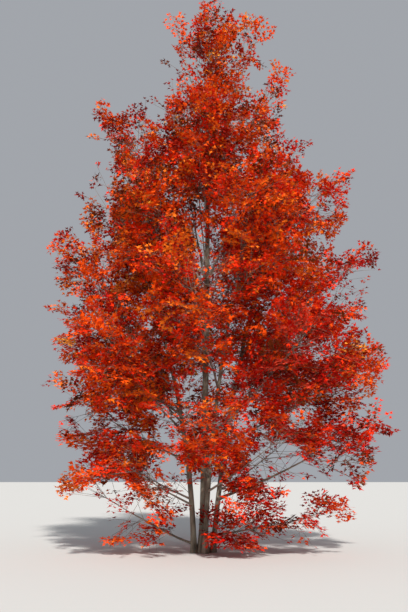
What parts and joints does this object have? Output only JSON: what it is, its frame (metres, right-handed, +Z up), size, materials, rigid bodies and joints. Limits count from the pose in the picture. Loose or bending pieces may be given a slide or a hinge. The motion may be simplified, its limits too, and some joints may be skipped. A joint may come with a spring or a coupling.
{
  "type": "red maple tree",
  "caption": "Clump-grown maple tree in red and orange autumn leaf, with slim grey stems, rising boughs and an open, tapering crown that hangs nearly to the ground.",
  "frame": {"origin": "middle of the flat cut under the main trunk, at ground level", "axes": "+Z up along the trunk, +X to the right and +Y away as the picture shows the tree"},
  "size_m": [6.5159, 6.022, 11.0153],
  "materials": {
    "bark": "rough pale grey bark",
    "scarlet_leaves": "thin scarlet leaf",
    "orange_leaves": "thin orange leaf",
    "crimson_leaves": "thin crimson leaf"
  },
  "bodies": {
    "root": {"trunk": "bark", "stem_left": "bark", "stem_mid": "bark", "stem_right": "bark", "leader_left": "bark", "leader_right": "bark", "shoulder_left": "bark", "upper_left_front": "bark", "upper_right_back": "bark", "spike_right": "bark", "lower_right_back": "bark", "broad_right": "bark", "low_right": "bark", "middle_left": "bark", "lower_left": "bark", "lower_left_back": "bark", "lower_left_front": "bark", "broad_left": "bark", "foot_left": "bark", "middle_front": "bark", "lower_right_front": "bark", "low_front": "bark", "leaves_crown_top": "orange_leaves", "leaves_stem_top_left": "orange_leaves", "leaves_stem_top_mid": "scarlet_leaves", "leaves_stem_top_right": "scarlet_leaves", "leaves_top_left": "orange_leaves", "leaves_top_right": "orange_leaves", "leaves_tuft_right": "orange_leaves", "leaves_leader_left": "orange_leaves", "leaves_leader_right": "scarlet_leaves", "leaves_shoulder_left": "scarlet_leaves", "leaves_high_back": "orange_leaves", "leaves_high_front": "scarlet_leaves", "leaves_upper_left_back": "orange_leaves", "leaves_upper_left_front": "orange_leaves", "leaves_upper_right_back": "scarlet_leaves", "leaves_middle_back": "orange_leaves", "leaves_low_back": "scarlet_leaves", "leaves_spike_right": "crimson_leaves", "leaves_lower_right_back": "scarlet_leaves", "leaves_inner_right": "scarlet_leaves", "leaves_broad_right": "orange_leaves", "leaves_low_right": "crimson_leaves", "leaves_low_right_back": "crimson_leaves", "leaves_foot_right": "crimson_leaves", "leaves_middle_left": "orange_leaves", "leaves_lower_left": "orange_leaves", "leaves_inner_left": "orange_leaves", "leaves_lower_left_back": "orange_leaves", "leaves_lower_left_front": "scarlet_leaves", "leaves_broad_left": "scarlet_leaves", "leaves_foot_left": "scarlet_leaves", "leaves_low_left_front": "scarlet_leaves", "leaves_low_left_back": "orange_leaves", "leaves_middle_front": "scarlet_leaves", "leaves_lower_right_front": "crimson_leaves", "leaves_low_front": "scarlet_leaves", "leaves_low_right_front": "crimson_leaves", "leaves_foot_front": "crimson_leaves"}
  },
  "joints": []
}
